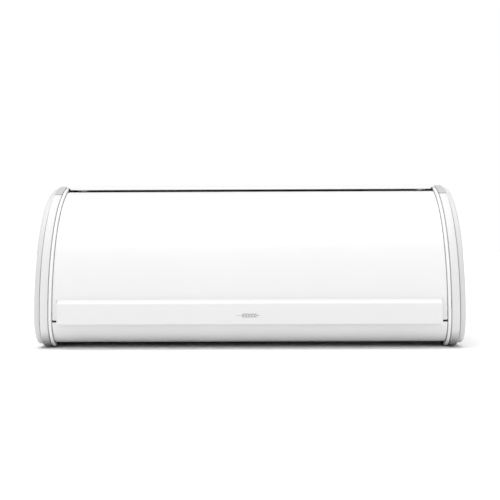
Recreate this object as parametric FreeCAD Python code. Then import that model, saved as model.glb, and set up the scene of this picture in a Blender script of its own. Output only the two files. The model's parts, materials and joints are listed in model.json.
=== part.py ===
"""Roll-top bread box: a curved lid runs in grooves in the two ends and slides back under the flat top.

Units are millimetres. +X is to the right, -Y is the front, +Z is up. The origin is the centre of the
footprint, on the surface that the box stands on. Depths and angles in the functions below are measured
from the lid's axis: an angle of 0 degrees is level to the front, 90 degrees is straight up.
"""

import FreeCAD, Part

import math
import os

from FreeCAD import Vector

# Driving dimensions of the whole box
HALF_WIDTH = 224.0           # half of the overall width
RIM_RADIUS = 142.8           # outer radius of the ends' front curve
AXIS_HEIGHT = 33.6           # height of the lid's axis
BACK_REACH = 122.2           # depth of the ends behind the lid's axis
RIM_BOTTOM = 1.0             # underside of the side bands, held up by the feet
BACK_TOP_RADIUS = 22.0       # rounding of the upper rear corner
BACK_FOOT_HEIGHT = 21.0      # height where the lower rear corner starts to round
SHEET = 1.0                  # thickness of the painted steel sheet with its coating
FIT = 0.05                   # gap between pieces that are fastened to each other
FAR = 400.0                  # beyond the box, for cutting regions

# Stations across the width, from the middle outwards
LID_HALF = 204.6             # end of the lid and of the front apron
FLANGE_IN = 205.2            # inner face of the end frame's flange
PLATE_IN = 208.3             # inner face of the end frame's wall
FLANGE_OUT = 208.45          # outer face of the flange
BAND_IN = 209.2              # side band
BAND_OUT = 217.5
PLATE_OUT = 212.3            # outer face of the end frame's wall
COVER_IN = 218.3             # end cover's visible rim
CLEAR = 1.0                  # margin of cutting tools beyond a piece

# Fixed top, back and bottom
SHELL_STEP = 0.6             # how far the top stands above the side bands
LIP_ANGLE = 73.2             # front edge of the fixed top
NOTCH_ANGLE = 76.0           # end of the notch at each corner of that edge
NOTCH_HALF = 203.0           # half-width of the top between the notches
SHELL_HALF = 208.2           # half-width of the top and back
TRIM_DEPTH = 1.0             # thickness of the trim strips
TRIM_ANGLE = 67.0            # where the trim strips on the side bands start
TRIM_GAP = 0.9               # open joint in front of the trim strips, in degrees
SHELL_BOTTOM = 4.45          # underside of the shell's turned-in foot
SHELL_LAP = 84.0             # front edge of that foot, behind the lid's axis
PAN_STEP = -0.8              # the apron stands this far inside the ends' curve
PAN_BOTTOM = 5.5             # underside of the pan
PAN_HALF = 208.2             # half-width of the pan behind the apron
PAN_REAR = 98.0              # rear edge of the pan
APRON_TOP = 27.6             # upper edge of the apron
APRON_REAR = -108.0          # where the narrow apron meets the wide pan
PAN_FLANGE_TOP = 17.0        # turned-up side flanges of the pan

# Lid
LID_RADIUS = 140.8
LID_BOTTOM_ANGLE = -1.58
LID_TOP_ANGLE = 72.3
RUNNER_IN = 197.0            # inner edge of the plastic runner
RUNNER_RADIUS = 136.6        # inner radius of the runner and its tongue
TONGUE_RADIUS = 138.9        # outer radius of the tongue
TONGUE_OUT = 207.8           # end of the tongue in the groove
TONGUE_START = 2.5
TONGUE_END = 72.0
LID_TRAVEL = 62.0            # degrees that the lid turns to open
RAIL_HALF = 196.8            # half-length of the two rails inside the lid
TOP_RAIL_WEB = 1.5           # thickness of the upper rail against the lid
TOP_RAIL_DEPTH = 5.0         # depth of the upper rail's leg
TOP_RAIL_START = 67.3        # lower edge of the upper rail, in degrees
TOP_RAIL_END = 76.0          # its upper edge, which reaches in under the fixed top
TOP_RAIL_LEG = 0.7           # thickness of the leg in degrees
HANDLE_RAIL_WALL = 2.0
HANDLE_RAIL_END = 9.5        # upper edge of the rail behind the handle, in degrees

# Guide groove in the end frames
GROOVE_OUTER = 139.4
GROOVE_INNER = 136.1
RIB_INNER = 132.8
GUIDE_START = -6.0
GUIDE_END = 136.3
HIDDEN_FLANGE_RADIUS = 141.7 # flange radius where it runs under the fixed top

# End frame, side band and end cover
WALL_INSET = 3.05            # edge of the end frame's wall, inside the band
WALL_STEP_INSET = 2.6        # edge of the same wall where it clears the fixed top
BAND_WALL = 3.0
COVER_INSET = 2.7            # how far the cover's rim lies below the band
COVER_WALL = 2.4
COVER_SPIGOT = 4.6           # inset of the spigot that enters the band
COVER_ROUNDING = 2.2

# Handle
HANDLE_HALF = 199.7
HANDLE_TOP = 51.5
HANDLE_BOTTOM = 25.8
HANDLE_REACH = 149.2         # front of the handle, ahead of the lid's axis
HANDLE_SHOULDER = (-147.3, 47.7)
HANDLE_WALL = 1.7
HANDLE_ROOT = 2.4            # height of the bar's upper edge against the lid
HANDLE_END_WALL = 1.6
APRON_CLEAR = 0.3            # the handle's ends keep this far outside the ends' front curve
POST_RADIUS = 3.2

# Fasteners: places across the width, depths and heights, then sizes
SCREW_HEIGHT = 44.5
SCREW_STATIONS = (-156.0, -52.0, 52.0, 156.0)
COVER_SCREW_SPOTS = ((-95.0, 44.0), (95.0, 44.0), (-60.0, 128.0), (60.0, 128.0))
PAN_SCREW_HEIGHT = 12.0
PAN_SCREW_DEPTHS = (-80.0, -5.0, 70.0)
RIVET_STATIONS = (-180.0, -120.0, -60.0, 0.0, 60.0, 120.0, 180.0)
RIVET_DEPTH = 91.0
HANDLE_SCREW = (1.4, 3.0, 1.8, 0.8)   # shank radius, head radius, head height, head rounding
COVER_SCREW = (1.5, 3.3, 2.0, 0.9)
PAN_SCREW = (1.25, 2.8, 1.6, 0.7)
RIVET_SHANK = 1.6
RIVET_HEAD = (3.1, 1.0)               # radius and height of the head below the sheet
RIVET_TAIL = (2.5, 1.2)               # radius and height of the tail above it

# Feet: pads with round ends and a peg, under the side bands
FOOT_DEPTHS = (-86.0, 76.0)
FOOT_LENGTH = 26.0
FOOT_HALF_WIDTH = 3.2
FOOT_X = (BAND_IN + BAND_OUT) / 2.0
STEM_RADIUS = 2.0
STEM_TOP = 3.0

# The lid's axis lies this far behind the middle of the footprint
AXIS_Y = (HANDLE_REACH - BACK_REACH - SHELL_STEP) / 2.0


def at(y, z):
    """Point in the section plane, its depth measured from the lid's axis."""
    return Vector(0, AXIS_Y + y, z)


def polar(radius, angle):
    """Point on a circle about the lid's axis."""
    turn = math.radians(angle)
    return at(-radius * math.cos(turn), AXIS_HEIGHT + radius * math.sin(turn))


def arc(centre_y, centre_z, radius, start, end):
    """Arc in the section plane; 0 degrees points to the rear, 90 degrees up."""
    points = []
    for angle in (start, (start + end) / 2.0, end):
        turn = math.radians(angle)
        points.append(at(centre_y + radius * math.cos(turn), centre_z + radius * math.sin(turn)))
    return Part.Arc(*points).toShape()


def prism(edges, x0, x1):
    """Solid made by pushing a closed section from x0 to x1."""
    face = Part.Face(Part.Wire(Part.__sortEdges__(edges)))
    face.translate(Vector(x0, 0, 0))
    return face.extrude(Vector(x1 - x0, 0, 0))


def joined(edges):
    """Edges with straight lines added between the end of each and the start of the next."""
    closed = []
    for index, edge in enumerate(edges):
        following = edges[(index + 1) % len(edges)]
        start = edge.lastVertex(True).Point
        end = following.firstVertex(True).Point
        closed.append(edge)
        if start.distanceToPoint(end) > 1e-6:
            closed.append(Part.makeLine(start, end))
    return closed


def rounded(corners, x0, x1):
    """Solid with a polygon section; each corner is (y, z, rounding radius)."""
    count = len(corners)
    starts = []
    edges = []
    for index, (y, z, radius) in enumerate(corners):
        here = at(y, z)
        before = (at(*corners[index - 1][:2]) - here).normalize()
        after = (at(*corners[(index + 1) % count][:2]) - here).normalize()
        half = before.getAngle(after) / 2.0
        reach = radius / math.tan(half)
        inward = (before + after).normalize()
        first = here + before * reach
        last = here + after * reach
        middle = here + inward * (radius / math.sin(half) - radius)
        starts.append((first, last))
        if radius > 0:
            edges.append(Part.Arc(first, middle, last).toShape())
    for index, (_, last) in enumerate(starts):
        edges.append(Part.makeLine(last, starts[(index + 1) % count][0]))
    return prism(edges, x0, x1)


def sector(inner, outer, start, end, x0, x1):
    """Piece of a ring about the lid's axis."""
    middle = (start + end) / 2.0
    edges = [
        Part.Arc(polar(outer, start), polar(outer, middle), polar(outer, end)).toShape(),
        Part.makeLine(polar(outer, end), polar(inner, end)),
        Part.Arc(polar(inner, end), polar(inner, middle), polar(inner, start)).toShape(),
        Part.makeLine(polar(inner, start), polar(outer, start)),
    ]
    return prism(edges, x0, x1)


def outline(grow, bottom, x0, x1):
    """Solid with the box's side outline, grown by some distance and cut off flat at the bottom."""
    front = RIM_RADIUS + grow
    back = BACK_REACH + grow
    top = AXIS_HEIGHT + front
    corner = BACK_TOP_RADIUS + grow
    low_front = AXIS_HEIGHT - bottom
    low_rear = BACK_FOOT_HEIGHT - bottom
    edges = joined([
        arc(low_front - front, AXIS_HEIGHT, low_front, 270, 180),
        arc(0, AXIS_HEIGHT, front, 180, 90),
        arc(back - corner, top - corner, corner, 90, 0),
        arc(back - low_rear, BACK_FOOT_HEIGHT, low_rear, 0, -90),
    ])
    return prism(edges, x0, x1)


def block(x0, x1, y0, y1, z0, z1):
    """Plain block, its depth measured from the lid's axis."""
    return Part.makeBox(x1 - x0, y1 - y0, z1 - z0, Vector(x0, AXIS_Y + y0, z0))


def mirrored(shape):
    """The same piece on the left side."""
    return shape.mirror(Vector(0, 0, 0), Vector(1, 0, 0))


def rod_x(y, z, radius, x0, x1):
    """Round bar along X."""
    return Part.makeCylinder(radius, x1 - x0, at(y, z) + Vector(x0, 0, 0), Vector(1, 0, 0))


def rod_z(x, y, radius, z0, z1):
    """Round bar along Z."""
    return Part.makeCylinder(radius, z1 - z0, at(y, z0) + Vector(x, 0, 0), Vector(0, 0, 1))


def rod_y(x, z, radius, y0, y1):
    """Round bar along Y."""
    return Part.makeCylinder(radius, y1 - y0, at(y0, z) + Vector(x, 0, 0), Vector(0, 1, 0))


def rivet_holes():
    """Holes through the lap of the shell's foot and the pan."""
    low = SHELL_BOTTOM - CLEAR
    high = PAN_BOTTOM + SHEET + CLEAR
    return Part.makeCompound([rod_z(x, RIVET_DEPTH, RIVET_SHANK + FIT, low, high) for x in RIVET_STATIONS])


def base_pan():
    """Bottom sheet with the front apron and a turned-up flange along each side."""
    def skin(half):
        outer = outline(PAN_STEP, PAN_BOTTOM, -half, half)
        return outer.cut(outline(PAN_STEP - SHEET, PAN_BOTTOM + SHEET, -half, half))

    apron = skin(LID_HALF).common(
        block(-LID_HALF, LID_HALF, -RIM_RADIUS, APRON_REAR, 0, APRON_TOP))
    bottom = skin(PAN_HALF).common(
        block(-PAN_HALF, PAN_HALF, APRON_REAR, PAN_REAR, 0, APRON_TOP))
    flange = block(PAN_HALF - SHEET, PAN_HALF, APRON_REAR + 6, PAN_REAR - 6, PAN_BOTTOM, PAN_FLANGE_TOP)
    screw_holes = Part.makeCompound(
        [rod_x(y, PAN_SCREW_HEIGHT, 1.6, PAN_HALF - 3, PAN_HALF + 1) for y in PAN_SCREW_DEPTHS])
    flange = flange.cut(screw_holes)
    return apron.fuse([bottom, flange, mirrored(flange)]).cut(rivet_holes()).removeSplitter()


def top_back_shell():
    """Fixed top, back wall and turned-in foot in one sheet."""
    def skin(half):
        outer = outline(SHELL_STEP, SHELL_BOTTOM, -half, half)
        return outer.cut(outline(SHELL_STEP - SHEET, SHELL_BOTTOM + SHEET, -half, half))

    kept = sector(1.0, FAR, NOTCH_ANGLE, 180.0, -SHELL_HALF, SHELL_HALF).fuse(
        block(-SHELL_HALF, SHELL_HALF, SHELL_LAP, FAR, 0, AXIS_HEIGHT + 1))
    main = skin(SHELL_HALF).common(kept)
    lip = skin(NOTCH_HALF).common(
        sector(100.0, 200.0, LIP_ANGLE, NOTCH_ANGLE, -NOTCH_HALF, NOTCH_HALF))
    return main.fuse(lip).cut(rivet_holes()).removeSplitter()


def top_trim():
    """Right-hand strip beside the fixed top, let into the side band."""
    outer = outline(0, RIM_BOTTOM, BAND_IN, BAND_OUT)
    strip = outer.cut(outline(-TRIM_DEPTH, RIM_BOTTOM + TRIM_DEPTH, BAND_IN, BAND_OUT))
    return strip.common(sector(1.0, FAR, TRIM_ANGLE, 180.0, BAND_IN, BAND_OUT))


def end_frame():
    """Right-hand side wall with the flange beside the lid and the lid's guide groove."""
    wall = outline(-WALL_INSET, RIM_BOTTOM + WALL_INSET, BAND_IN - 0.1, PLATE_OUT)
    step = outline(-WALL_STEP_INSET, RIM_BOTTOM + WALL_STEP_INSET, PLATE_IN, BAND_IN - 0.1)
    flange_wall = RIM_RADIUS - GROOVE_OUTER
    flange_skin = outline(0, RIM_BOTTOM, FLANGE_IN, FLANGE_OUT).cut(
        outline(-flange_wall, RIM_BOTTOM + flange_wall, FLANGE_IN, FLANGE_OUT))
    low_corner = flange_skin.common(
        block(FLANGE_IN, FLANGE_OUT, -RIM_RADIUS, APRON_REAR - 2, 0, AXIS_HEIGHT))
    shown = NOTCH_ANGLE - 0.3
    front = sector(GROOVE_OUTER, RIM_RADIUS, 0.0, shown, FLANGE_IN, FLANGE_OUT)
    hidden = sector(GROOVE_OUTER, HIDDEN_FLANGE_RADIUS, shown, GUIDE_END, FLANGE_IN, FLANGE_OUT)
    rib = sector(RIB_INNER, GROOVE_INNER, GUIDE_START, GUIDE_END, FLANGE_IN + 0.2, FLANGE_OUT)
    holes = [rod_x(y, z, 1.6, PLATE_IN - 1, PLATE_OUT + 1) for y, z in COVER_SCREW_SPOTS]
    holes += [rod_x(y, PAN_SCREW_HEIGHT, 1.3, PLATE_IN - 1, PLATE_OUT + 1) for y in PAN_SCREW_DEPTHS]
    frame = wall.fuse([step, low_corner, front, hidden, rib]).removeSplitter()
    return frame.cut(Part.makeCompound(holes))


def side_band():
    """Right-hand band round the end, stepped down where the trim strip lies on it."""
    ring = outline(0, RIM_BOTTOM, BAND_IN, BAND_OUT).cut(
        outline(-BAND_WALL, RIM_BOTTOM + BAND_WALL, BAND_IN - CLEAR, BAND_OUT + CLEAR))
    seat = outline(CLEAR, 0, BAND_IN - CLEAR, BAND_OUT + CLEAR).cut(
        outline(-TRIM_DEPTH - FIT, RIM_BOTTOM + TRIM_DEPTH, BAND_IN - CLEAR, BAND_OUT + CLEAR))
    seat = seat.common(sector(60.0, FAR, TRIM_ANGLE - TRIM_GAP, 180.2, BAND_IN - CLEAR, BAND_OUT + CLEAR))
    band = ring.cut(seat)
    sockets = [foot_stem(y, FIT) for y in FOOT_DEPTHS]
    return band.cut(Part.makeCompound(sockets))


def foot_stem(y, gap):
    """Peg of a foot, or with a gap the socket that it sits in."""
    return rod_z(FOOT_X, y, STEM_RADIUS + gap, RIM_BOTTOM - 0.2, STEM_TOP + gap)


def foot(y):
    """Rubber pad with round ends and a peg."""
    half = FOOT_HALF_WIDTH
    reach = FOOT_LENGTH / 2.0 - half
    top = RIM_BOTTOM - FIT
    pad = block(FOOT_X - half, FOOT_X + half, y - reach, y + reach, 0, top)
    ends = [rod_z(FOOT_X, y + side * reach, half, 0, top) for side in (-1, 1)]
    return pad.fuse(ends + [foot_stem(y, 0.0)]).removeSplitter()


def end_cover():
    """Right-hand outer cover: a dished plate with a spigot inside the band and four screw posts."""
    plate = outline(-COVER_INSET, RIM_BOTTOM + COVER_INSET, COVER_IN, HALF_WIDTH)
    outer_edges = [edge for edge in plate.Edges if abs(edge.BoundBox.XMin - HALF_WIDTH) < 1e-3]
    plate = plate.makeFillet(COVER_ROUNDING, outer_edges)
    collar = outline(-COVER_SPIGOT, RIM_BOTTOM + COVER_SPIGOT, PLATE_OUT + 0.3, COVER_IN)
    inner = COVER_SPIGOT + COVER_WALL
    face = HALF_WIDTH - COVER_WALL
    hollow = outline(-inner, RIM_BOTTOM + inner, PLATE_OUT, face)
    posts = [rod_x(y, z, 4.2, PLATE_OUT + FIT, face) for y, z in COVER_SCREW_SPOTS]
    bores = [rod_x(y, z, COVER_SCREW[0] + FIT, PLATE_OUT, face - 1.6) for y, z in COVER_SCREW_SPOTS]
    cover = plate.fuse(collar).cut(hollow).fuse(posts)
    return cover.cut(Part.makeCompound(bores)).removeSplitter()


def side_screw(y, z, sizes, seat, tip):
    """Pan-head screw along X, its head on the inner side of a seat."""
    shank_radius, head_radius, head_height, rounding = sizes
    shank = rod_x(y, z, shank_radius, seat - 1.0, tip)
    head = rod_x(y, z, head_radius, seat - head_height, seat)
    rim = [edge for edge in head.Edges if abs(edge.BoundBox.XMax - (seat - head_height)) < 1e-3]
    return head.makeFillet(rounding, rim).fuse(shank).removeSplitter()


def cover_screws():
    """Four pan-head screws that hold the right-hand cover from inside the box."""
    seat = PLATE_IN - FIT
    tip = BAND_OUT + 0.6
    return Part.makeCompound([side_screw(y, z, COVER_SCREW, seat, tip) for y, z in COVER_SCREW_SPOTS])


def pan_screws():
    """Three screws that hold the pan's right-hand flange to the end frame."""
    seat = PAN_HALF - SHEET - FIT
    tip = PLATE_OUT - 0.4
    height = PAN_SCREW_HEIGHT
    return Part.makeCompound([side_screw(y, height, PAN_SCREW, seat, tip) for y in PAN_SCREW_DEPTHS])


def shell_rivets():
    """Blind rivets through the lap of the shell's foot and the pan."""
    rivets = []
    low = SHELL_BOTTOM - FIT
    high = PAN_BOTTOM + SHEET + FIT
    for x in RIVET_STATIONS:
        shank = rod_z(x, RIVET_DEPTH, RIVET_SHANK, low - 0.5, high + 0.5)
        head = rod_z(x, RIVET_DEPTH, RIVET_HEAD[0], low - RIVET_HEAD[1], low)
        tail = rod_z(x, RIVET_DEPTH, RIVET_TAIL[0], high, high + RIVET_TAIL[1])
        rivets.append(shank.fuse([head, tail]).removeSplitter())
    return Part.makeCompound(rivets)


def handle_screw_holes():
    """Holes for the handle screws through the lid and the rail behind it."""
    radius = HANDLE_SCREW[0] + 0.3
    return Part.makeCompound([rod_y(x, SCREW_HEIGHT, radius, -145, -135) for x in SCREW_STATIONS])


def lid_panel():
    """Curved sheet of the lid, with holes for the handle screws."""
    sheet = sector(LID_RADIUS - SHEET, LID_RADIUS, LID_BOTTOM_ANGLE, LID_TOP_ANGLE, -LID_HALF, LID_HALF)
    return sheet.cut(handle_screw_holes())


def lid_runner():
    """Right-hand runner: a strip inside the lid's edge with a tongue for the groove."""
    outer = LID_RADIUS - SHEET - FIT
    strip = sector(RUNNER_RADIUS, outer, LID_BOTTOM_ANGLE + 1.5, TONGUE_END, RUNNER_IN, LID_HALF - 0.2)
    tongue = sector(RUNNER_RADIUS, TONGUE_RADIUS, TONGUE_START, TONGUE_END, LID_HALF - 0.3, TONGUE_OUT)
    return strip.fuse(tongue).removeSplitter()


def lid_top_rail():
    """Dark rail inside the lid's upper edge, which closes the gap under the lip of the fixed top."""
    outer = LID_RADIUS - SHEET - FIT
    end = TOP_RAIL_END
    web = sector(outer - TOP_RAIL_WEB, outer, TOP_RAIL_START, end, -RAIL_HALF, RAIL_HALF)
    leg_outer = outer - TOP_RAIL_WEB + 0.1
    leg = sector(outer - TOP_RAIL_DEPTH, leg_outer, end - TOP_RAIL_LEG, end, -RAIL_HALF, RAIL_HALF)
    return web.fuse(leg).removeSplitter()


def handle_rail():
    """Strip inside the lid that the handle screws pull against."""
    outer = LID_RADIUS - SHEET - FIT
    inner = outer - HANDLE_RAIL_WALL
    strip = sector(inner, outer, LID_BOTTOM_ANGLE + 0.4, HANDLE_RAIL_END, -RAIL_HALF, RAIL_HALF)
    return strip.cut(handle_screw_holes())


def handle_bar():
    """Hooked grip bar with closed ends, an open underside and four screw posts."""
    seat = LID_RADIUS + FIT
    shoulder_y, shoulder_z = HANDLE_SHOULDER
    root_y = -math.sqrt(seat ** 2 - (HANDLE_TOP - AXIS_HEIGHT) ** 2)
    low_root_y = -math.sqrt(seat ** 2 - (HANDLE_TOP - HANDLE_ROOT - AXIS_HEIGHT) ** 2)
    skin = rounded([
        (root_y, HANDLE_TOP, 0.0),
        (shoulder_y, shoulder_z, 3.0),
        (-HANDLE_REACH, HANDLE_BOTTOM, 0.8),
        (HANDLE_WALL - HANDLE_REACH, HANDLE_BOTTOM, 0.7),
        (shoulder_y + HANDLE_WALL - 0.1, shoulder_z - 1.6, 1.2),
        (low_root_y, HANDLE_TOP - HANDLE_ROOT, 0.0),
    ], -HANDLE_HALF, HANDLE_HALF)
    wall = rounded([
        (root_y + 3.0, HANDLE_TOP - 0.3, 0.0),
        (root_y, HANDLE_TOP - 0.3, 0.0),
        (shoulder_y + 0.2, shoulder_z - 0.2, 2.5),
        (0.2 - HANDLE_REACH, HANDLE_BOTTOM, 0.8),
        (0.2 - HANDLE_REACH + 12.0, HANDLE_BOTTOM, 0.0),
    ], HANDLE_HALF - HANDLE_END_WALL, HANDLE_HALF)
    posts = [rod_y(x, SCREW_HEIGHT, POST_RADIUS, -146.6, -130) for x in SCREW_STATIONS]
    core = sector(1.0, LID_RADIUS + 0.4, -30, 60, -FAR, FAR)
    contact = sector(1.0, seat, -30, 60, -FAR, FAR)
    bores = [rod_y(x, SCREW_HEIGHT, HANDLE_SCREW[0] + FIT, -145.2, -130) for x in SCREW_STATIONS]
    apron_room = block(-FAR, FAR, APRON_CLEAR - RIM_RADIUS, 0, 0, APRON_TOP + 2.5)
    wall = wall.cut(core).cut(apron_room)
    posts = [post.cut(contact) for post in posts]
    bar = skin.cut(contact).fuse([wall, mirrored(wall)] + posts)
    return bar.cut(Part.makeCompound(bores)).removeSplitter()


def handle_screws():
    """Four screws from inside the lid into the handle's posts."""
    screws = []
    shank_radius, head_radius, head_height, rounding = HANDLE_SCREW
    rail_face = LID_RADIUS - SHEET - FIT - HANDLE_RAIL_WALL
    seat = 0.35 - math.sqrt(rail_face ** 2 - (SCREW_HEIGHT - AXIS_HEIGHT) ** 2)
    for x in SCREW_STATIONS:
        shank = rod_y(x, SCREW_HEIGHT, shank_radius, -144.9, seat + 0.5)
        head = rod_y(x, SCREW_HEIGHT, head_radius, seat, seat + head_height)
        rim = [edge for edge in head.Edges if abs(edge.BoundBox.YMin - (AXIS_Y + seat + head_height)) < 1e-3]
        screws.append(head.makeFillet(rounding, rim).fuse(shank).removeSplitter())
    return Part.makeCompound(screws)


def buffers(start, end):
    """Pair of pads across the grooves of both end frames."""
    pad = sector(GROOVE_INNER + FIT, GROOVE_OUTER - FIT, start, end, FLANGE_IN + 0.3, PLATE_IN - FIT)
    return Part.makeCompound([pad, mirrored(pad)])


def build():
    """Every node's shape by name."""
    nodes = {
        "base_pan": base_pan(),
        "top_back_shell": top_back_shell(),
        "shell_rivets": shell_rivets(),
        "lid_panel": lid_panel(),
        "lid_top_rail": lid_top_rail(),
        "handle_rail": handle_rail(),
        "handle_bar": handle_bar(),
        "handle_screws": handle_screws(),
        "closing_buffers": buffers(TONGUE_START - 2.2, TONGUE_START - 0.2),
        "opening_buffers": buffers(TONGUE_END + LID_TRAVEL + 0.3, GUIDE_END - 0.2),
    }
    sided = {
        "end_frame": end_frame(),
        "top_trim": top_trim(),
        "side_band": side_band(),
        "end_cover": end_cover(),
        "cover_screws": cover_screws(),
        "pan_screws": pan_screws(),
        "lid_runner": lid_runner(),
        "front_foot": foot(FOOT_DEPTHS[0]),
        "rear_foot": foot(FOOT_DEPTHS[1]),
    }
    for name, shape in sided.items():
        nodes["right_" + name] = shape
        nodes["left_" + name] = mirrored(shape)
    return nodes


os.makedirs("parts", exist_ok=True)
for node_name, node_shape in build().items():
    node_shape.exportStep(os.path.join("parts", node_name + ".step"))
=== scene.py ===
import json
import math

import bmesh
import bpy
from mathutils import Matrix, Vector


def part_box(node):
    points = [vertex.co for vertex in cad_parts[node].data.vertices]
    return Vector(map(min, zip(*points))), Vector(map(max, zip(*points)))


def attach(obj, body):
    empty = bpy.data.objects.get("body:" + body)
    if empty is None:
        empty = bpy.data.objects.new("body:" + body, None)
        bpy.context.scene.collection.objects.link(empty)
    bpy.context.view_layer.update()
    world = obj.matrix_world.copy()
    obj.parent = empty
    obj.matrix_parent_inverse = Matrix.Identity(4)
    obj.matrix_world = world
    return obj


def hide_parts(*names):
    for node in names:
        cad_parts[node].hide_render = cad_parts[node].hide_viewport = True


# The box's looks: every visible piece is rebuilt here with rounded edges and procedural materials.
# Section points are (y, z) in millimetres measured from the lid's axis, +y to the rear; x is the real x.

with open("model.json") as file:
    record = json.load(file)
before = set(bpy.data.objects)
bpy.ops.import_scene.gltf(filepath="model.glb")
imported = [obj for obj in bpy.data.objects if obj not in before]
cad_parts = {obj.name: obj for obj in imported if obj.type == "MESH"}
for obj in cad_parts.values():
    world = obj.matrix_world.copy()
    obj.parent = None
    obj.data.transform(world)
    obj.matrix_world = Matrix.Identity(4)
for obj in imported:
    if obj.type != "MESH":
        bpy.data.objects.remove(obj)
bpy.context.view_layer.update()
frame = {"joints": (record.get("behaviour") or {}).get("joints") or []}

MM = 0.001
AXIS = Vector(frame["joints"][0]["pos_m"]) / MM
TRAVEL = frame["joints"][0]["range_deg"][1]


def span(node):
    """Lowest and highest corner of a CAD node in millimetres, with y and z measured from the lid's axis."""
    low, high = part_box(node)
    shift = Vector((0, AXIS.y, AXIS.z))
    return low / MM - shift, high / MM - shift


# Sizes read from the frame
BAND_LOW, BAND_HIGH = span("right_side_band")
TRIM_LOW, TRIM_HIGH = span("right_top_trim")
COVER_LOW, COVER_HIGH = span("right_end_cover")
FRAME_LOW, FRAME_HIGH = span("right_end_frame")
LID_LOW, LID_HIGH = span("lid_panel")
SHELL_LOW, SHELL_HIGH = span("top_back_shell")
PAN_LOW, PAN_HIGH = span("base_pan")
HANDLE_LOW, HANDLE_HIGH = span("handle_bar")
RUNNER_LOW, RUNNER_HIGH = span("right_lid_runner")
FLOOR_Z = -AXIS.z
RIM_RADIUS = -BAND_LOW.y
LID_RADIUS = -LID_LOW.y
SHEET = 1.0                       # thickness of the painted sheet
FIT = 0.05                        # air between pieces that touch
BEVEL_SEGMENTS = 3
BACK_TOP_RADIUS = 22.0
BACK_FOOT_Z = 21.0 + FLOOR_Z      # where the lower rear corner starts to round
WALL_INSET, WALL_OUTER_INSET = 2.6, 3.05  # insets are measured inward from the box's side outline
BAND_DEPTH, BAND_SEAT = 3.0, 1.05  # thickness of the band, and its step down under the trim strip
TRIM_DEPTH = 1.0
COVER_IN = 218.3
COVER_INSET = 2.7
COVER_ROUNDING = 2.2
COVER_SPIGOT_INSET, COVER_HOLLOW_INSET = 4.6, 7.0
COVER_FACE = 2.4                  # thickness of the cover's outer face; it is hollow behind that
NOTCH_HALF, NOTCH_ANGLE, LIP_ANGLE = 203.0, 76.0, 73.2
LIP_ROUNDING = 2.6
LID_TOP_ANGLE = 72.3
TOP_RAIL_START, TOP_RAIL_END = 67.3, 76.0
FLANGE_OUT = 208.45
PLATE_IN = 208.3
GROOVE_OUTER, GROOVE_INNER, RIB_INNER = 139.4, 136.1, 132.8
GUIDE_START, GUIDE_END = -6.0, 136.3
GUIDE_TAIL_RADIUS = 141.7         # outside of the flange where it goes on under the fixed top
APRON_TOP, APRON_REAR = 27.6 + FLOOR_Z, -108.0
HEM_FOLD, HEM_LENGTH = 1.25, 7.0
PAN_SIDE_FRONT, PAN_SIDE_REAR, PAN_SIDE_TOP, PAN_SIDE_CORNER = -102.0, 92.0, 17 + FLOOR_Z, 3
TRIM_ANGLE = 67.0                 # the trim strips run from here over the top and down the back
TRIM_GAP = 0.9                    # open joint in front of them, in degrees
LID_FOOT_ANGLE = -1.58
LID_LOWER_ROUNDING, LID_UPPER_ROUNDING = 0.8, 3.5
TONGUE_START, TONGUE_END = 2.5, 72.0
TONGUE_RADIUS = 138.9
RUNNER_INNER = 136.6
RAIL_HALF = span("handle_rail")[1].x
TOP_RAIL_WEB, TOP_RAIL_DEPTH, TOP_RAIL_LEG = 1.5, 5.0, 0.7
BACKING_START, BACKING_END, BACKING_THICKNESS = -1.18, 9.5, 2.0
HANDLE_WALL = 1.7
HANDLE_SHOULDER = (-147.3, 47.7 + FLOOR_Z)
HANDLE_REACH = 149.2
HANDLE_END_SLOPE = 1.0
HANDLE_END_FOOT = 29.0 + FLOOR_Z  # the end walls rest on the lid from here up
HANDLE_END_REAR = -142.6
POST_RADIUS, POST_LENGTH, POST_Y = 3.2, 5.6, -146.3
EMBLEM_MIDDLE = (-1.0, 35.0 + FLOOR_Z)  # x and z
GRAIN_HALF_WIDTH, PRINT_THICKNESS = 0.62, 0.06
SCREW_Z = 44.5 + FLOOR_Z
SCREW_STATIONS = (-156.0, -52.0, 52.0, 156.0)
COVER_SCREW_SPOTS = ((-95.0, 44.0), (95.0, 44.0), (-60.0, 128.0), (60.0, 128.0))
PAN_SCREW_DEPTHS = (-80.0, -5.0, 70.0)
PAN_SCREW_Z = 12.0 + FLOOR_Z
RIVET_STATIONS = (-180.0, -120.0, -60.0, 0.0, 60.0, 120.0, 180.0)
RIVET_DEPTH = 91.0
FOOT_DEPTHS = (-86.0, 76.0)
FOOT_HALF_WIDTH, FOOT_HALF_LENGTH = 3.2, 13.0

# Screws: head radius, head height, shank radius, shank length
COVER_SCREW = (3.3, 1.95, 1.5, 9.0)
PAN_SCREW = (2.8, 1.55, 1.25, 4.5)
HANDLE_SCREW = (3.0, 1.75, 1.4, 7.0)


# Sections: lists of samples (y, z, normal_y, normal_z)

def arc(centre_y, centre_z, radius, start, end, step=2.0):
    """Samples of an arc; 0 degrees points to the rear and 90 degrees up."""
    count = max(2, round(abs(end - start) / step))
    samples = []
    for i in range(count + 1):
        turn = math.radians(start + (end - start) * i / count)
        c, s = math.cos(turn), math.sin(turn)
        samples.append((centre_y + radius * c, centre_z + radius * s, c, s))
    return samples


def line(a, b, step=12.0):
    """Samples between two samples with the same normal, without the ends."""
    length = math.hypot(b[0] - a[0], b[1] - a[1])
    count = max(1, round(length / step))
    return [(a[0] + (b[0] - a[0]) * i / count, a[1] + (b[1] - a[1]) * i / count, a[2], a[3])
            for i in range(1, count)]


def chain(*parts):
    """Arcs joined by straight runs."""
    samples = list(parts[0])
    for part in parts[1:]:
        samples += line(samples[-1], part[0]) + list(part)
    return samples


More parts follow.
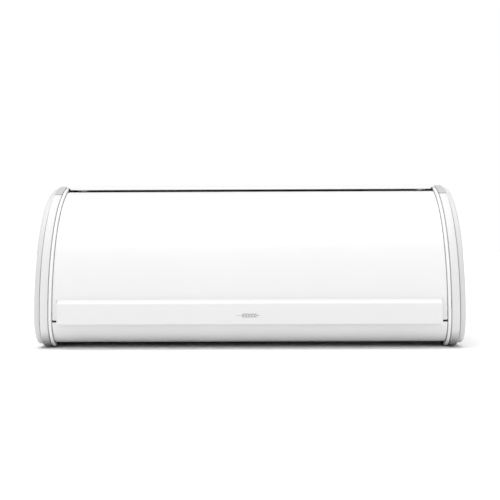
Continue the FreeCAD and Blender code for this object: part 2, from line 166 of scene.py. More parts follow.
def outline(grow=0.0):
    """The box's side outline, from the lower front corner up, over the top and down the back."""
    bottom = BAND_LOW.z - grow
    front = RIM_RADIUS + grow
    back = BAND_HIGH.y + grow
    corner = BACK_TOP_RADIUS + grow
    low_front = -bottom
    low_rear = BACK_FOOT_Z - bottom
    return chain(
        arc(low_front - front, 0, low_front, 270, 180, 3),
        arc(0, 0, front, 180, 90)[1:],
        arc(back - corner, front - corner, corner, 90, 0, 4),
        arc(back - low_rear, BACK_FOOT_Z, low_rear, 0, -90, 5))


def circle(radius, start, end, step=2.0):
    """Arc about the lid's axis; 0 degrees is level to the front, 90 degrees is straight up."""
    return arc(0, 0, radius, 180 - start, 180 - end, step)


def on_arc(radius, angle):
    """One sample of the circle about the lid's axis."""
    return circle(radius, angle, angle + 1)[0]


def angle_of(sample):
    """A sample's angle about the lid's axis, from the front up."""
    return math.degrees(math.atan2(sample[1], -sample[0]))


# Mesh builders

def new_piece(name, mesh_source, body, material, stands_for, bevel=0.3):
    """Turns bmesh geometry in millimetres into a finished piece."""
    bmesh.ops.remove_doubles(mesh_source, verts=mesh_source.verts, dist=1e-5)
    bmesh.ops.recalc_face_normals(mesh_source, faces=mesh_source.faces)
    shift = Matrix.Translation((0, AXIS.y, AXIS.z))
    bmesh.ops.transform(mesh_source, matrix=Matrix.Scale(MM, 4) @ shift, verts=mesh_source.verts)
    for face in mesh_source.faces:
        face.smooth = True
    mesh = bpy.data.meshes.new(name)
    mesh_source.to_mesh(mesh)
    mesh_source.free()
    piece = bpy.data.objects.new(name, mesh)
    bpy.context.scene.collection.objects.link(piece)
    mesh.materials.append(material)
    if bevel:
        soften = piece.modifiers.new("edges", "BEVEL")
        soften.width = bevel * MM
        soften.segments = BEVEL_SEGMENTS
        soften.limit_method = "ANGLE"
        soften.angle_limit = math.radians(38)
        soften.harden_normals = True
    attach(piece, body)
    if stands_for:
        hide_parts(*stands_for)


def skinned(bm, rings, closed=False):
    """Faces from ring to ring of points, with a cap at each end unless the rings close on themselves."""
    pairs = list(zip(rings, rings[1:]))
    if closed:
        pairs.append((rings[-1], rings[0]))
    for first, second in pairs:
        for j in range(len(first)):
            k = (j + 1) % len(first)
            bm.faces.new((first[j], first[k], second[k], second[j]))
    if not closed:
        bm.faces.new(rings[0])
        bm.faces.new(list(reversed(rings[-1])))
    return bm


def sweep(bm, path, section, closed=False):
    """Runs a closed section of (x, n) points along a path.

    The section may be a function that gives the points for a sample's index."""
    rings = []
    for index, (y, z, ny, nz) in enumerate(path):
        points = section(index) if callable(section) else section
        rings.append([bm.verts.new((x, y + ny * n, z + nz * n)) for x, n in points])
    return skinned(bm, rings, closed)


def plate(bm, stations, path_at):
    """Closed plate lofted through (x, grow) stations of a closed outline."""
    rings = []
    for x, grow in stations:
        rings.append([bm.verts.new((x, point[0], point[1])) for point in path_at(grow)])
    return skinned(bm, rings)


def extrude(bm, points, x0, x1):
    """Closed (y, z) outline pushed from x0 to x1."""
    return skinned(bm, [[bm.verts.new((x, y, z)) for y, z in points] for x in (x0, x1)])


def sheet(bm, path, half_width, thickness, columns):
    """Sheet of even thickness over a path, from -half_width to half_width at each sample.

    The path is the sheet's outer surface; columns are places from -1 to 1 across it."""
    top, under = [], []
    for index, (y, z, ny, nz) in enumerate(path):
        reach = half_width(index)
        top.append([bm.verts.new((c * reach, y, z)) for c in columns])
        under.append([bm.verts.new((c * reach, y - ny * thickness, z - nz * thickness)) for c in columns])
    last_row, last_column = len(path) - 1, len(columns) - 1
    for i in range(last_row):
        for j in range(last_column):
            bm.faces.new((top[i][j], top[i][j + 1], top[i + 1][j + 1], top[i + 1][j]))
            bm.faces.new((under[i][j], under[i + 1][j], under[i + 1][j + 1], under[i][j + 1]))
        for j in (0, last_column):
            bm.faces.new((top[i][j], top[i + 1][j], under[i + 1][j], under[i][j]))
    for j in range(last_column):
        for i in (0, last_row):
            bm.faces.new((top[i][j], top[i][j + 1], under[i][j + 1], under[i][j]))
    return bm


def rounded(corners, steps=6):
    """Outline of (y, z) points with its corners (y, z, radius) rounded."""
    points = []
    count = len(corners)
    for index, (y, z, radius) in enumerate(corners):
        here = Vector((y, z))
        before = (Vector(corners[index - 1][:2]) - here).normalized()
        after = (Vector(corners[(index + 1) % count][:2]) - here).normalized()
        if radius <= 0:
            points.append((y, z))
            continue
        half = before.angle(after) / 2
        centre = here + (before + after).normalized() * (radius / math.sin(half))
        first = here + before * (radius / math.tan(half)) - centre
        last = here + after * (radius / math.tan(half)) - centre
        sweep_angle = first.angle_signed(last)
        for k in range(steps + 1):
            turned = first.copy()
            turned.rotate(Matrix.Rotation(-sweep_angle * k / steps, 2))
            points.append(tuple(centre + turned))
    return points


def turn_to(axis):
    """Rotation that takes +z to an axis."""
    return Vector((0, 0, 1)).rotation_difference(Vector(axis)).to_matrix()


def lathe(bm, profile, place, axis, count=24):
    """Turned solid: profile of (distance along the axis, radius) points, from tip to tip."""
    turn = turn_to(axis)
    rings = []
    for along, radius in profile:
        ring = []
        for k in range(count):
            a = 2 * math.pi * k / count
            local = Vector((radius * math.cos(a), radius * math.sin(a), along))
            ring.append(bm.verts.new(Vector(place) + turn @ local))
        rings.append(ring)
    return skinned(bm, rings)


def both_sides(make):
    """Builds a piece for the right side and its mirror image for the left."""
    for side, word in ((1, "right"), (-1, "left")):
        make(side, word)


def mirrored(bm, side):
    """Mirrors bmesh geometry for the left side."""
    if side < 0:
        bmesh.ops.scale(bm, vec=(-1, 1, 1), verts=bm.verts)
        bmesh.ops.reverse_faces(bm, faces=bm.faces)
    return bm


def joined_group(parts, name, body, material, stands_for, bevel=0.0, side=1):
    """Several bmeshes in one piece."""
    bm = bmesh.new()
    for part in parts:
        mesh = bpy.data.meshes.new("part")
        part.to_mesh(mesh)
        part.free()
        bm.from_mesh(mesh)
        bpy.data.meshes.remove(mesh)
    new_piece(name, mirrored(bm, side), body, material, stands_for, bevel)


def fused(parts, cuts=()):
    """One bmesh made by joining closed bmeshes and cutting others away from them."""
    objects = []
    for source in list(parts) + list(cuts):
        bmesh.ops.remove_doubles(source, verts=source.verts, dist=1e-5)
        bmesh.ops.recalc_face_normals(source, faces=source.faces)
        mesh = bpy.data.meshes.new("tool")
        source.to_mesh(mesh)
        source.free()
        tool = bpy.data.objects.new("tool", mesh)
        bpy.context.scene.collection.objects.link(tool)
        objects.append(tool)
    base = objects[0]
    for index, tool in enumerate(objects[1:], start=1):
        step = base.modifiers.new("step", "BOOLEAN")
        step.operation = "UNION" if index < len(parts) else "DIFFERENCE"
        step.solver = "EXACT"
        step.object = tool
    made = base.evaluated_get(bpy.context.evaluated_depsgraph_get()).to_mesh()
    result = bmesh.new()
    result.from_mesh(made)
    for tool in objects:
        mesh = tool.data
        bpy.data.objects.remove(tool)
        bpy.data.meshes.remove(mesh)
    return result


# Materials

def new_material(name, color, roughness, metallic=0.0, coat=0.0, coat_roughness=0.1):
    """Material with a Principled shader; returns it with its nodes, links and shader."""
    material = bpy.data.materials.new(name)
    material.use_nodes = True
    nodes, links = material.node_tree.nodes, material.node_tree.links
    shader = nodes["Principled BSDF"]
    shader.inputs["Base Color"].default_value = (*color, 1)
    shader.inputs["Roughness"].default_value = roughness
    shader.inputs["Metallic"].default_value = metallic
    shader.inputs["Coat Weight"].default_value = coat
    shader.inputs["Coat Roughness"].default_value = coat_roughness
    return material, nodes, links, shader


def noise(nodes, links, scale, detail):
    """Noise over the piece's own coordinates, in features per metre."""
    place = nodes.new("ShaderNodeTexCoord")
    texture = nodes.new("ShaderNodeTexNoise")
    texture.inputs["Scale"].default_value = scale
    texture.inputs["Detail"].default_value = detail
    links.new(place.outputs["Object"], texture.inputs["Vector"])
    return texture.outputs["Fac"]


def ranged(nodes, links, value, low, high, start=0.3, end=0.7):
    """Maps a value from one range to another."""
    node = nodes.new("ShaderNodeMapRange")
    node.inputs["From Min"].default_value = start
    node.inputs["From Max"].default_value = end
    node.inputs["To Min"].default_value = low
    node.inputs["To Max"].default_value = high
    links.new(value, node.inputs["Value"])
    return node.outputs["Result"]


def combined(nodes, links, operation, first, second=None):
    """Math node on one or two values."""
    node = nodes.new("ShaderNodeMath")
    node.operation = operation
    links.new(first, node.inputs[0])
    if second is not None:
        links.new(second, node.inputs[1])
    return node.outputs["Value"]


def edge_mask(nodes, links, radius):
    """1 on rounded edges and 0 on flats: where a softened normal leaves the true one."""
    soft = nodes.new("ShaderNodeBevel")
    soft.samples = 4
    soft.inputs["Radius"].default_value = radius
    true = nodes.new("ShaderNodeNewGeometry")
    dot = nodes.new("ShaderNodeVectorMath")
    dot.operation = "DOT_PRODUCT"
    links.new(soft.outputs["Normal"], dot.inputs[0])
    links.new(true.outputs["Normal"], dot.inputs[1])
    return ranged(nodes, links, dot.outputs["Value"], 1.0, 0.0, 0.75, 0.98)


def tinted(nodes, links, shader, color, other, factor):
    """Blends the base colour to another by a factor."""
    mix = nodes.new("ShaderNodeMix")
    mix.data_type = "RGBA"
    mix.inputs["A"].default_value = (*color, 1)
    mix.inputs["B"].default_value = (*other, 1)
    links.new(factor, mix.inputs["Factor"])
    links.new(mix.outputs["Result"], shader.inputs["Base Color"])


def bumped(nodes, links, shader, height, distance):
    """Bump from a height of 0 to 1 over some metres."""
    bump = nodes.new("ShaderNodeBump")
    bump.inputs["Distance"].default_value = distance
    links.new(height, bump.inputs["Height"])
    links.new(bump.outputs["Normal"], shader.inputs["Normal"])


def scaled(color, factor):
    """A colour made darker or lighter."""
    return tuple(c * factor for c in color)


def coated_steel(name, color, roughness):
    """Sprayed white coating: faint orange peel, slight drift in colour and gloss, thinner coat on edges."""
    material, nodes, links, shader = new_material(name, color, roughness, coat=0.35, coat_roughness=0.12)
    drift = ranged(nodes, links, noise(nodes, links, 9, 3), 0.0, 0.5)
    patches = ranged(nodes, links, noise(nodes, links, 160, 4), 0.0, 1.0)
    wear = combined(nodes, links, "MULTIPLY", edge_mask(nodes, links, 0.5 * MM), patches)
    thinned = combined(nodes, links, "MAXIMUM", drift, wear)
    tinted(nodes, links, shader, color, scaled(color, 0.96), thinned)
    gloss = ranged(nodes, links, noise(nodes, links, 70, 4), roughness - 0.04, roughness + 0.05)
    links.new(gloss, shader.inputs["Roughness"])
    bumped(nodes, links, shader, noise(nodes, links, 420, 1.5), 0.03 * MM)
    return material


def moulded(name, color, roughness, grain=1800, depth=0.02 * MM):
    """Moulded plastic: fine spark grain, slight drift in colour and gloss."""
    material, nodes, links, shader = new_material(name, color, roughness)
    tinted(nodes, links, shader, color, scaled(color, 0.965),
           ranged(nodes, links, noise(nodes, links, 14, 3), 0.0, 1.0))
    gloss = ranged(nodes, links, noise(nodes, links, 240, 3), roughness - 0.05, roughness + 0.06)
    links.new(gloss, shader.inputs["Roughness"])
    bumped(nodes, links, shader, noise(nodes, links, grain, 2), depth)
    return material


def painted_floor_shade(material, low, high, factor):
    """Painted shade: darkens a material's colour towards the floor, between two heights in metres, standing
    in for the shade near the floor.
    """
    nodes, links = material.node_tree.nodes, material.node_tree.links
    color = nodes["Principled BSDF"].inputs["Base Color"]
    unshaded = color.links[0].from_socket
    place = nodes.new("ShaderNodeTexCoord")
    split = nodes.new("ShaderNodeSeparateXYZ")
    links.new(place.outputs["Object"], split.inputs["Vector"])
    shade = ranged(nodes, links, split.outputs["Z"], factor, 0.0, low, high)
    mix = nodes.new("ShaderNodeMix")
    mix.data_type = "RGBA"
    mix.inputs["B"].default_value = (0.02, 0.02, 0.02, 1)
    links.new(unshaded, mix.inputs["A"])
    links.new(shade, mix.inputs["Factor"])
    links.new(mix.outputs["Result"], color)
    return material


def plated(name, color):
    """Zinc-plated steel: fine scratches and blotchy gloss."""
    material, nodes, links, shader = new_material(name, color, 0.3, metallic=1.0)
    tinted(nodes, links, shader, color, scaled(color, 0.8),
           ranged(nodes, links, noise(nodes, links, 500, 4), 0.0, 1.0))
    gloss = ranged(nodes, links, noise(nodes, links, 900, 3), 0.22, 0.42)
    links.new(gloss, shader.inputs["Roughness"])
    bumped(nodes, links, shader, noise(nodes, links, 2600, 2), 0.01 * MM)
    return material


def rubbery(name, color):
    """Soft rubber: matt, slightly mottled, dusty on edges."""
    material, nodes, links, shader = new_material(name, color, 0.8)
    edges = edge_mask(nodes, links, 0.3 * MM)
    tinted(nodes, links, shader, color, scaled(color, 1.6), edges)
    gloss = ranged(nodes, links, noise(nodes, links, 300, 3), 0.72, 0.9)
    links.new(gloss, shader.inputs["Roughness"])
    bumped(nodes, links, shader, noise(nodes, links, 1400, 3), 0.05 * MM)
    return material


SHELL_PAINT = coated_steel("shell_paint", (0.78, 0.78, 0.78), 0.32)
HANDLE_PAINT = coated_steel("handle_paint", (0.75, 0.75, 0.75), 0.34)
FRAME_PLASTIC = moulded("frame_plastic", (0.82, 0.82, 0.82), 0.36)
# Painted shade: the band's colour turns dark towards the floor.
BAND_PLASTIC = painted_floor_shade(moulded("band_plastic", (0.70, 0.70, 0.70), 0.40), 3 * MM, 18 * MM, 0.7)
COVER_PLASTIC = moulded("cover_plastic", (0.63, 0.63, 0.63), 0.40)
TRIM_PLASTIC = moulded("trim_plastic", (0.47, 0.47, 0.47), 0.45)
RUNNER_PLASTIC = moulded("runner_plastic", (0.66, 0.66, 0.64), 0.5)
# Painted shade: near-black and barely reflective, so the upper rail seen through the slot under the fixed
# top's lip looks like a black shadow gap.
SHADOW_BLACK_PLASTIC = moulded("shadow_black_plastic", (0.012, 0.012, 0.013), 0.9)
SHADOW_BLACK_PLASTIC.node_tree.nodes["Principled BSDF"].inputs["Specular IOR Level"].default_value = 0.04
RUBBER = rubbery("rubber", (0.05, 0.05, 0.052))
SCREW_STEEL = plated("screw_steel", (0.62, 0.62, 0.63))
PRINT_GREY = moulded("print_grey", (0.40, 0.40, 0.40), 0.5, 900)


# Pieces of the case

def flat_columns(count):
    """Evenly spaced places from -1 to 1 across a sheet."""
    return [-1 + 2 * i / count for i in range(count + 1)]


def corner_loss(distance, radius):
    """How much narrower a rounded corner makes a sheet at a distance from its end."""
    if distance >= radius:
        return 0.0
    distance = max(distance, 0.0)
    return radius - math.sqrt(radius ** 2 - (radius - distance) ** 2)


def make_shell():
    """Fixed top, back and foot in one sheet, notched at the ends of its lip."""
    step = SHELL_HIGH.z - RIM_RADIUS
    bottom = SHELL_LOW.z
    front = RIM_RADIUS + step
    back = BAND_HIGH.y + step
    corner = BACK_TOP_RADIUS + step
    low = BACK_FOOT_Z - bottom
    fine = [LIP_ANGLE + 0.15 * i for i in range(46)]
    lip = [on_arc(front, a) for a in fine]
    path = chain(
        lip + circle(front, fine[-1] + 0.5, 90),
        arc(back - corner, front - corner, corner, 90, 0, 4),
        arc(back - low, BACK_FOOT_Z, low, 0, -90, 5),
        [(84.0, bottom, 0.0, -1.0)])
    mouth, notch = math.radians(NOTCH_ANGLE - LIP_ANGLE) * front, 2.2

    def reach(index):
        if path[index][0] > 0:
            return SHELL_HIGH.x
        run = math.radians(angle_of(path[index]) - LIP_ANGLE) * front
        if run < mouth:
            return NOTCH_HALF - corner_loss(run, LIP_ROUNDING)
        share = min(1.0, (run - mouth) / notch)
        ease = share * share * (3 - 2 * share)
        return NOTCH_HALF + (SHELL_HIGH.x - NOTCH_HALF) * ease

    bm = sheet(bmesh.new(), path, reach, SHEET, flat_columns(32))
    new_piece("fixed_top_and_back", bm, "case", SHELL_PAINT, ["top_back_shell"], 0.3)


def make_pan():
    """Bottom sheet with a hemmed front apron and turned-up sides."""
    drop = -PAN_LOW.z
    front = RIM_RADIUS - 0.8
    centre = drop - front
    start = 180 + math.degrees(math.asin((HEM_FOLD - APRON_TOP) / drop))
    first = arc(centre, 0, drop, start, 270, 4)
    y, z, ny, nz = first[0]
    up = (nz, -ny)
    pivot = (y - ny * HEM_FOLD, z - nz * HEM_FOLD)
    curl = []
    for k in range(9):
        turn = math.pi * k / 8
        c, s = math.cos(turn), math.sin(turn)
        out = (-ny * c + up[0] * s, -nz * c + up[1] * s)
        curl.append((pivot[0] + out[0] * HEM_FOLD, pivot[1] + out[1] * HEM_FOLD, out[0], out[1]))
    hem_y, hem_z, hem_ny, hem_nz = curl[0]
    hem_end = (hem_y - up[0] * HEM_LENGTH, hem_z - up[1] * HEM_LENGTH, hem_ny, hem_nz)
    path = chain([hem_end], curl + first[1:], [(APRON_REAR - 1.5, -drop, 0.0, -1.0)],
                 [(APRON_REAR, -drop, 0.0, -1.0)], [(98.0, -drop, 0.0, -1.0)])
    wide = PAN_HIGH.x - 0.9

    def reach(index):
        y, z, _, _ = path[index]
        return LID_HIGH.x if y < APRON_REAR - 0.1 or z > -drop + 0.5 else wide

    bm = sheet(bmesh.new(), path, reach, SHEET, flat_columns(24))
    upright = PAN_SIDE_TOP - PAN_SIDE_CORNER
    wall = [(PAN_SIDE_FRONT, -drop), (PAN_SIDE_REAR, -drop), (PAN_SIDE_REAR, upright),
            (PAN_SIDE_REAR - PAN_SIDE_CORNER, PAN_SIDE_TOP),
            (PAN_SIDE_FRONT + PAN_SIDE_CORNER, PAN_SIDE_TOP), (PAN_SIDE_FRONT, upright)]
    for side in (1, -1):
        extrude(bm, wall, side * (PAN_HIGH.x - SHEET), side * PAN_HIGH.x)
    new_piece("bottom_pan_and_apron", bm, "case", SHELL_PAINT, ["base_pan"], 0.3)


def make_end_frame(side, word):
    """Side wall with the flange beside the lid and the guide groove behind it."""
    step = BAND_LOW.x - 0.1
    stations = [(PLATE_IN, -WALL_INSET), (step, -WALL_INSET),
                (step, -WALL_OUTER_INSET), (FRAME_HIGH.x, -WALL_OUTER_INSET)]
    wall = plate(bmesh.new(), stations, outline)
    low = [s for s in outline() if s[1] <= 0.01 and s[0] < APRON_REAR - 2]
    shown = low + circle(RIM_RADIUS, 0.5, NOTCH_ANGLE - 0.3, 1.5)
    deep = GROOVE_OUTER - RIM_RADIUS
    flange = sweep(bmesh.new(), shown, rounded(
        [(FRAME_LOW.x, 0, 1.1), (FLANGE_OUT, 0, 1.1), (FLANGE_OUT, deep, 0), (FRAME_LOW.x, deep, 0.3)]))
    hidden = circle(GUIDE_TAIL_RADIUS, NOTCH_ANGLE - 0.5, GUIDE_END)
    thin = GROOVE_OUTER - GUIDE_TAIL_RADIUS
    tail = sweep(bmesh.new(), hidden, rounded(
        [(FRAME_LOW.x, 0, 0.5), (FLANGE_OUT, 0, 0.3), (FLANGE_OUT, thin, 0), (FRAME_LOW.x, thin, 0.3)]))
    edge, inner = FRAME_LOW.x + 0.2, RIB_INNER - GROOVE_INNER
    rib = sweep(bmesh.new(), circle(GROOVE_INNER, GUIDE_START, GUIDE_END), rounded(
        [(edge, 0, 0.6), (FLANGE_OUT, 0, 0), (FLANGE_OUT, inner, 0), (edge, inner, 0.6)]))
    joined_group([wall, flange, tail, rib], word + "_side_wall", "case",
                 FRAME_PLASTIC, [word + "_end_frame"], 0.2, side)


def make_band(side, word):
    """Band round the end, stepped down under the trim strip."""
    seat = TRIM_ANGLE - TRIM_GAP
    samples = outline()
    place = next(i for i, s in enumerate(samples) if angle_of(s) > seat and s[1] > 0)
    path = samples[:place] + [on_arc(RIM_RADIUS, seat), on_arc(RIM_RADIUS, seat + 0.02)] + samples[place:]

    def section(index):
        seated = seat + 0.01 < angle_of(path[index]) < 180.1
        level = -BAND_SEAT if seated else 0.0
        return rounded([(BAND_LOW.x, level, 0.9), (BAND_HIGH.x, level, 0.8),
                        (BAND_HIGH.x, -BAND_DEPTH, 0.3), (BAND_LOW.x, -BAND_DEPTH, 0.3)], 4)

    bm = mirrored(sweep(bmesh.new(), path, section, closed=True), side)
    new_piece(word + "_end_band", bm, "case", BAND_PLASTIC, [word + "_side_band"], 0)


def make_trim(side, word):
    """Strip beside the fixed top, let into the band."""
    path = [s for s in outline() if angle_of(s) > TRIM_ANGLE + 0.5 and s[1] >= 0]
    path = [on_arc(RIM_RADIUS, TRIM_ANGLE)] + path
    section = rounded([(TRIM_LOW.x, 0, 0.5), (TRIM_HIGH.x, 0, 0.5),
                       (TRIM_HIGH.x, -TRIM_DEPTH, 0), (TRIM_LOW.x, -TRIM_DEPTH, 0)], 4)
    bm = mirrored(sweep(bmesh.new(), path, section), side)
    new_piece(word + "_trim_strip", bm, "case", TRIM_PLASTIC, [word + "_top_trim"], 0.25)


def make_cover(side, word):
    """Outer cover with a flat face and a rounded rim, hollow towards the box."""
    face, spigot = COVER_HIGH.x, COVER_LOW.x + 0.25
    stations = [(face - COVER_FACE, -COVER_HOLLOW_INSET), (spigot, -COVER_HOLLOW_INSET),
                (spigot, -COVER_SPIGOT_INSET), (COVER_IN, -COVER_SPIGOT_INSET), (COVER_IN, -COVER_INSET)]
    for k in range(9):
        turn = math.radians(90 * k / 8)
        stations.append((face - COVER_ROUNDING + COVER_ROUNDING * math.sin(turn),
                         -COVER_INSET - COVER_ROUNDING * (1 - math.cos(turn))))
    bm = mirrored(plate(bmesh.new(), stations, outline), side)
    new_piece(word + "_cover", bm, "case", COVER_PLASTIC, [word + "_end_cover"], 0.2)


def stadium(centre_x, centre_y, half_width, half_length, count=10):
    """Outline of a pad with round ends, long in y."""
    points = []
    reach = half_length - half_width
    for end, start in ((1, 0.0), (-1, math.pi)):
        for k in range(count + 1):
            turn = start + math.pi * k / count
            points.append((centre_x + half_width * math.cos(turn),
                           centre_y + end * reach + half_width * math.sin(turn)))
    return points


def make_feet(side, word):
    """Rubber pads under the band."""
    centre = (BAND_LOW.x + BAND_HIGH.x) / 2
    for place, depth in zip(("front", "rear"), FOOT_DEPTHS):
        bm = bmesh.new()
        points = stadium(centre, depth, FOOT_HALF_WIDTH, FOOT_HALF_LENGTH)
        skinned(bm, [[bm.verts.new((x, y, z)) for x, y in points] for z in (FLOOR_Z, BAND_LOW.z - FIT)])
        new_piece(f"{word}_{place}_pad", mirrored(bm, side), "case", RUBBER,
                  [f"{word}_{place}_foot"], 0.25)


# Fasteners

def pan_head(place, axis, head_radius, head_height, shank_radius, shank_length):
    """Pan-head screw with a cross recess; the axis points out of the head."""
    profile = [(-shank_length, shank_radius * 0.55), (-shank_length + 1.2, shank_radius),
               (0.0, shank_radius), (0.0, head_radius), (head_height * 0.35, head_radius)]
    for k in range(1, 7):
        turn = math.radians(90 * k / 6)
        profile.append((head_height * (0.35 + 0.65 * math.sin(turn)),
                        head_radius * (0.62 + 0.38 * math.cos(turn))))
    screw = lathe(bmesh.new(), profile, place, axis)
    turn = turn_to(axis)
    cutters = []
    for long_way in (0, 1):
        half = [0.22 * head_radius, 0.22 * head_radius]
        half[long_way] = 0.62 * head_radius
        cross = bmesh.new()
        bmesh.ops.create_cube(cross, size=1.0)
        for vert in cross.verts:
            deep = vert.co.z < 0
            shrink = 0.55 if deep else 1.0
            local = Vector((vert.co.x * 2 * half[0] * shrink, vert.co.y * 2 * half[1] * shrink,
                            head_height * (0.3 if deep else 1.2)))
            vert.co = Vector(place) + turn @ local
        cutters.append(cross)
    return fused([screw], cutters)


def make_side_screws(side, word):
    """Cover screws and pan screws inside one end."""
    seat = PLATE_IN - FIT
    covers = [pan_head((seat, y, z + FLOOR_Z), (-1, 0, 0), *COVER_SCREW) for y, z in COVER_SCREW_SPOTS]
    joined_group(covers, word + "_cover_fixings", "case", SCREW_STEEL,
                 [word + "_cover_screws"], side=side)
    seat = PAN_HIGH.x - SHEET - FIT
    pans = [pan_head((seat, y, PAN_SCREW_Z), (-1, 0, 0), *PAN_SCREW) for y in PAN_SCREW_DEPTHS]
    joined_group(pans, word + "_pan_fixings", "case", SCREW_STEEL,
                 [word + "_pan_screws"], side=side)


def make_rivets():
    """Blind rivets through the lap at the rear of the bottom."""
    low, high = span("shell_rivets")
    head = [(low.z, 1.2), (low.z + 0.2, 2.0), (low.z + 0.55, 2.8), (low.z + 0.95, 3.1), (low.z + 0.97, 1.6)]
    tail = [(high.z - 1.2, 1.6), (high.z - 1.2, 2.5), (high.z - 0.5, 2.4), (high.z - 0.1, 1.6), (high.z, 0.8)]
    rivets = [lathe(bmesh.new(), head + tail, (x, RIVET_DEPTH, 0), (0, 0, 1)) for x in RIVET_STATIONS]
    joined_group(rivets, "lap_rivets", "case", SHELL_PAINT, ["shell_rivets"])


def make_buffers():
    """Pads at both ends of the grooves."""
    inner, outer = FRAME_LOW.x + 0.3, PLATE_IN - FIT
    depth = GROOVE_INNER - GROOVE_OUTER + 2 * FIT
    for word, start, end in (("closing", 0.3, 2.3), ("opening", TONGUE_END + TRAVEL + 0.3, GUIDE_END - 0.2)):
        bm = bmesh.new()
        for side in (1, -1):
            section = [(side * inner, 0), (side * outer, 0), (side * outer, depth), (side * inner, depth)]
            sweep(bm, circle(GROOVE_OUTER - FIT, start, end, 1.0), section)
        new_piece(word + "_pads", bm, "case", RUBBER, [word + "_buffers"], 0.3)


# Pieces of the lid

def make_lid():
    """Curved sheet of the lid with rounded corners."""
    bottom, top = LID_FOOT_ANGLE, LID_TOP_ANGLE
    angles = [bottom + 0.14 * i for i in range(10)]
    angles += [1 + i for i in range(69)]
    angles += [top - 1.9 + 0.1 * i for i in range(19)]
    path = [on_arc(LID_RADIUS, a) for a in angles + [top]]

    def reach(index):
        run = math.radians(angle_of(path[index]) - bottom) * LID_RADIUS
        left = math.radians(top - angle_of(path[index])) * LID_RADIUS
        return LID_HIGH.x - corner_loss(run, LID_LOWER_ROUNDING) - corner_loss(left, LID_UPPER_ROUNDING)

    bm = sheet(bmesh.new(), path, reach, SHEET, flat_columns(32))
    new_piece("rolling_lid", bm, "lid", SHELL_PAINT, ["lid_panel"], 0.3)


def ring_piece(inner, outer, start, end, x0, x1):
    """Closed piece of a ring about the lid's axis."""
    points = [s[:2] for s in circle(outer, start, end, 1.5)]
    points += [s[:2] for s in reversed(circle(inner, start, end, 1.5))]
    return extrude(bmesh.new(), points, x0, x1)


def make_runner(side, word):
    """Plastic strip inside the lid's edge with the tongue that runs in the groove."""
    outer = LID_RADIUS - SHEET - FIT
    strip = ring_piece(RUNNER_INNER, outer, -0.08, TONGUE_END, RUNNER_LOW.x, LID_HIGH.x - 0.2)
    tongue = ring_piece(RUNNER_INNER, TONGUE_RADIUS, TONGUE_START, TONGUE_END,
                        LID_HIGH.x - 0.5, RUNNER_HIGH.x)
    bm = mirrored(fused([strip, tongue]), side)
    new_piece(word + "_runner", bm, "lid", RUNNER_PLASTIC, [word + "_lid_runner"], 0.3)


def make_rails():
    """Stiffener along the lid's upper edge and the strip behind the handle."""
    outer = LID_RADIUS - SHEET - FIT
    web = ring_piece(outer - TOP_RAIL_WEB, outer, TOP_RAIL_START, TOP_RAIL_END, -RAIL_HALF, RAIL_HALF)
    leg = ring_piece(outer - TOP_RAIL_DEPTH, outer - 1.2, TOP_RAIL_END - TOP_RAIL_LEG, TOP_RAIL_END,
                     -RAIL_HALF, RAIL_HALF)
    # The upper rail's near-black colour is painted shade for the slot under the lip.
    new_piece("upper_rail", fused([web, leg]), "lid", SHADOW_BLACK_PLASTIC, ["lid_top_rail"], 0.25)
    strip = ring_piece(outer - BACKING_THICKNESS, outer, BACKING_START, BACKING_END, -RAIL_HALF, RAIL_HALF)
    new_piece("backing_strip", strip, "lid", FRAME_PLASTIC, ["handle_rail"], 0.4)


def on_circle(radius, z):
    """The y of a point at height z on the front of a circle about the lid's axis."""
    return -math.sqrt(radius ** 2 - z ** 2)


def make_handle():
    """Hooked grip bar, open underneath, with closed ends and screw posts."""
    seat = LID_RADIUS + FIT
    top, bottom = HANDLE_HIGH.z, HANDLE_LOW.z
    shoulder_y, shoulder_z = HANDLE_SHOULDER
    half = HANDLE_HIGH.x
    flat = half - HANDLE_END_SLOPE
    grip = extrude(bmesh.new(), rounded([
        (on_circle(seat, top), top, 0.0),
        (shoulder_y, shoulder_z, 3.0),
        (-HANDLE_REACH, bottom, 0.8),
        (HANDLE_WALL - HANDLE_REACH, bottom, 0.7),
        (shoulder_y + HANDLE_WALL - 0.1, shoulder_z - 1.6, 1.2),
        (on_circle(seat, top - 2.4), top - 2.4, 0.0)]), -flat, flat)
    parts = [grip]

    def end_outline(share):
        """Outline of the end wall, from full size at 0 to sloped all the way back to the lid at 1."""
        near = -LID_RADIUS - 0.9
        low = bottom + 4.0 * share
        rear = HANDLE_END_REAR - 0.3 * share
        against = [(on_circle(LID_RADIUS + 0.4, z), z) for z in (HANDLE_END_FOOT + k * 3.6 for k in range(6))]
        return against + rounded([
            (on_circle(LID_RADIUS + 0.4, top - 0.3), top - 0.3 - 0.6 * share, 0.0),
            (shoulder_y + (near - shoulder_y) * share, shoulder_z - 1.2 * share, 2.95 - 2.8 * share),
            (-HANDLE_REACH + (near + HANDLE_REACH) * share, low, 0.75 - 0.6 * share),
            (rear, low, 0.0),
            (rear, max(low, HANDLE_END_FOOT) + 0.1 * share, 0.0)])

    for side in (1, -1):
        stations = [(side * (flat - 0.4), 0.003), (side * flat, 0.003),
                    (side * (flat + half) / 2, 0.5), (side * half, 0.95)]
        parts.append(plate(bmesh.new(), stations, end_outline))
    for x in SCREW_STATIONS:
        post = [(0.0, POST_RADIUS), (POST_LENGTH, POST_RADIUS)]
        parts.append(lathe(bmesh.new(), post, (x, POST_Y, SCREW_Z), (0, 1, 0), 20))
    new_piece("grip_bar", fused(parts), "lid", HANDLE_PAINT, ["handle_bar"], 0.3)


def make_handle_screws():
    """Screws from inside the lid into the handle's posts."""
    seat = on_circle(LID_RADIUS - SHEET - FIT - BACKING_THICKNESS, SCREW_Z) + 0.35
    screws = [pan_head((x, seat, SCREW_Z), (0, 1, 0), *HANDLE_SCREW) for x in SCREW_STATIONS]
    joined_group(screws, "grip_fixings", "lid", SCREW_STEEL, ["handle_screws"])


